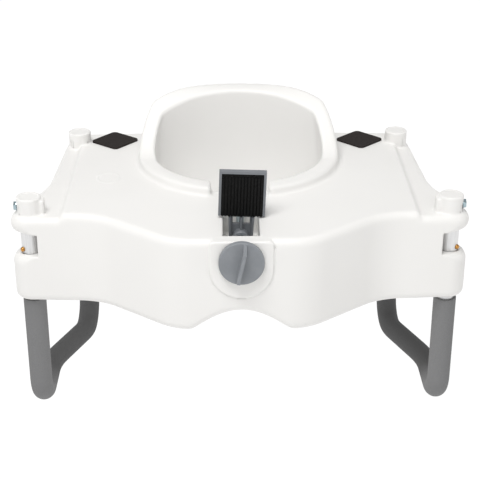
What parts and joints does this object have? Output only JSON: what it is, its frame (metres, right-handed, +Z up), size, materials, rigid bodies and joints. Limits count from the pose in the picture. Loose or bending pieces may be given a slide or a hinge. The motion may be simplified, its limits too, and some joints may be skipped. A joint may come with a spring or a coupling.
{
  "type": "raised toilet seat",
  "caption": "Raised toilet seat with padded lift-out arms, a splash guard and a screw clamp for the bowl, turned over and standing on its armrests.",
  "frame": {"origin": "on the plane the padded armrests stand on, under the middle of the object's box", "axes": "+X towards the right arm as seen from the clamp knob, the seat's width; +Y from the knob at the front to the back; +Z up, which is the side that goes down on the bowl: in use the object is turned over, with -Z up"},
  "size_m": [0.56, 0.3958, 0.3637],
  "materials": {
    "seat_plastic": "satin blow-moulded polyethylene with a fine grain",
    "pad_rubber": "matt rubber sheet",
    "knob_plastic": "grained moulded plastic",
    "bracket_plastic": "moulded glass-filled plastic",
    "jaw_rubber": "ribbed rubber",
    "foam": "closed-cell foam sleeve with a fine skin",
    "tube_aluminium": "satin anodised",
    "button_brass": "polished",
    "zinc_steel": "zinc plated",
    "spring_steel": "oiled spring steel"
  },
  "bodies": {
    "seat": {"seat_body": "seat_plastic", "rim_pad_left": "pad_rubber", "rim_pad_right": "pad_rubber", "stop_bolts": "zinc_steel", "stop_washers": "zinc_steel", "stop_nuts": "zinc_steel"},
    "knob": {"clamp_knob": "knob_plastic", "clamp_screw": "zinc_steel", "knob_washer": "zinc_steel", "clip_washer": "zinc_steel", "retaining_clip": "zinc_steel"},
    "clamp": {"clamp_bracket": "bracket_plastic", "clamp_pad": "jaw_rubber", "clamp_nut": "zinc_steel"},
    "arm_left": {"arm_tube_left": "tube_aluminium", "arm_foam_left": "foam", "snap_spring_left": "spring_steel"},
    "snap_left": {"snap_button_left": "button_brass"},
    "arm_right": {"arm_tube_right": "tube_aluminium", "arm_foam_right": "foam", "snap_spring_right": "spring_steel"},
    "snap_right": {"snap_button_right": "button_brass"}
  },
  "joints": [
    {"name": "knob_turn", "type": "hinge", "parent": "seat", "child": "knob", "pos_m": [0, -0.1756, 0.261], "axis": [0, 1, 0], "range_deg": [-4680, 3240]},
    {"name": "clamp_slide", "type": "slide", "parent": "seat", "child": "clamp", "axis": [0, -1, 0], "range_m": [-0.0521, 0.0361]},
    {"name": "arm_left_slide", "type": "slide", "parent": "seat", "child": "arm_left", "axis": [0, 0, -1], "range_m": [0, 0.11], "deforming": ["snap_button_left"]},
    {"name": "arm_right_slide", "type": "slide", "parent": "seat", "child": "arm_right", "axis": [0, 0, -1], "range_m": [0, 0.11], "deforming": ["snap_button_right"]},
    {"name": "snap_left_press", "type": "slide", "parent": "arm_left", "child": "snap_left", "axis": [0.7431, 0.6691, 0], "range_m": [0, 0.003], "stiffness_N_per_m": 1500, "springref_m": -0.001, "deforming": ["snap_spring_left"]},
    {"name": "snap_right_press", "type": "slide", "parent": "arm_right", "child": "snap_right", "axis": [-0.7431, 0.6691, 0], "range_m": [0, 0.003], "stiffness_N_per_m": 1500, "springref_m": -0.001, "deforming": ["snap_spring_right"]}
  ],
  "couplings": [
    {"joint": "clamp_slide", "follows": "knob_turn", "m_per_rad": 0.00063662}
  ]
}
